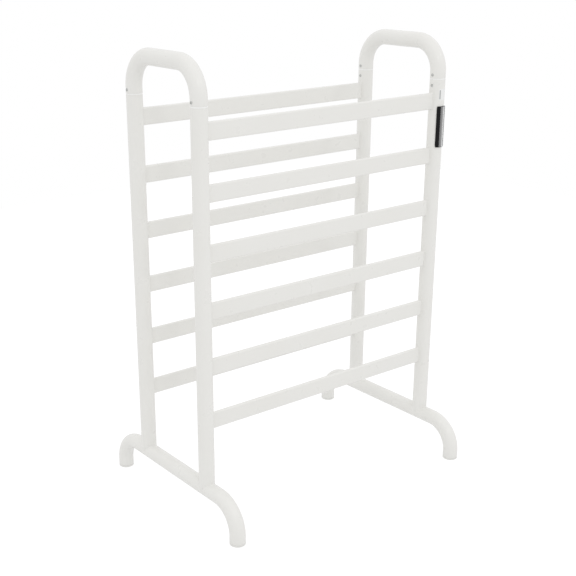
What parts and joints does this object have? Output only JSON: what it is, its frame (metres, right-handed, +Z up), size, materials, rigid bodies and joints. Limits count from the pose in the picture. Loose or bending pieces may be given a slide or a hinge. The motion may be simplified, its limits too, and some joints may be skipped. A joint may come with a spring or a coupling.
{
  "type": "free-standing drying rack",
  "caption": "Free-standing heated drying rack: flat rails in a front and a back ladder between tubular end frames with carrying loops, bent feet and a black touch strip.",
  "frame": {"origin": "on the floor, midway between the two end frames and midway between the front and back ladders", "axes": "+X along the rails towards the end frame with the control strip, -Y towards the front ladder that carries the control strip, +Z up"},
  "size_m": [0.633, 0.451, 0.922],
  "materials": {
    "white_powder_coat": "warm off-white gloss powder coat on steel tube",
    "foot_plastic": "pale grey moulded plastic, slightly textured",
    "white_plastic": "white moulded plastic collar",
    "zinc_steel": "bright zinc-plated steel",
    "black_gloss_plastic": "polished black plastic lens",
    "circuit_board": "green solder mask",
    "terminal_plastic": "moulded nylon",
    "relay_plastic": "black relay case",
    "led_lens": "clear yellowish LED body",
    "cable_silicone": "matt silicone rubber insulation",
    "lead_sheath": "white heat-resistant sheath",
    "gland_nylon": "white nylon"
  },
  "bodies": {
    "root": {"base_bolts": "zinc_steel", "base_tube_left": "white_powder_coat", "base_tube_right": "white_powder_coat", "bolt_insert_back_left": "zinc_steel", "bolt_insert_back_right": "zinc_steel", "bolt_insert_front_left": "zinc_steel", "bolt_insert_front_right": "zinc_steel", "control_board": "circuit_board", "control_lens": "black_gloss_plastic", "cord_gland": "gland_nylon", "foot_cap_back_left": "foot_plastic", "foot_cap_back_right": "foot_plastic", "foot_cap_front_left": "foot_plastic", "foot_cap_front_right": "foot_plastic", "heater_lead": "lead_sheath", "heater_relay": "relay_plastic", "heating_cable_back": "cable_silicone", "heating_cable_front": "cable_silicone", "indicator_leds": "led_lens", "joiner_screws": "zinc_steel", "lead_splice": "terminal_plastic", "left_loop": "white_powder_coat", "loop_joiner_back_left": "white_plastic", "loop_joiner_back_right": "white_plastic", "loop_joiner_front_left": "white_plastic", "loop_joiner_front_right": "white_plastic", "rail_back_1": "white_powder_coat", "rail_back_2": "white_powder_coat", "rail_back_3": "white_powder_coat", "rail_back_4": "white_powder_coat", "rail_back_5": "white_powder_coat", "rail_back_6": "white_powder_coat", "rail_front_1": "white_powder_coat", "rail_front_2": "white_powder_coat", "rail_front_3": "white_powder_coat", "rail_front_4": "white_powder_coat", "rail_front_5": "white_powder_coat", "rail_front_6": "white_powder_coat", "right_loop": "white_powder_coat", "saddle_washers": "zinc_steel", "supply_lead": "lead_sheath", "supply_terminal": "terminal_plastic", "terminal_block": "terminal_plastic", "touch_springs": "zinc_steel", "upright_back_left": "white_powder_coat", "upright_back_right": "white_powder_coat", "upright_front_left": "white_powder_coat", "upright_front_right": "white_powder_coat"}
  },
  "joints": []
}
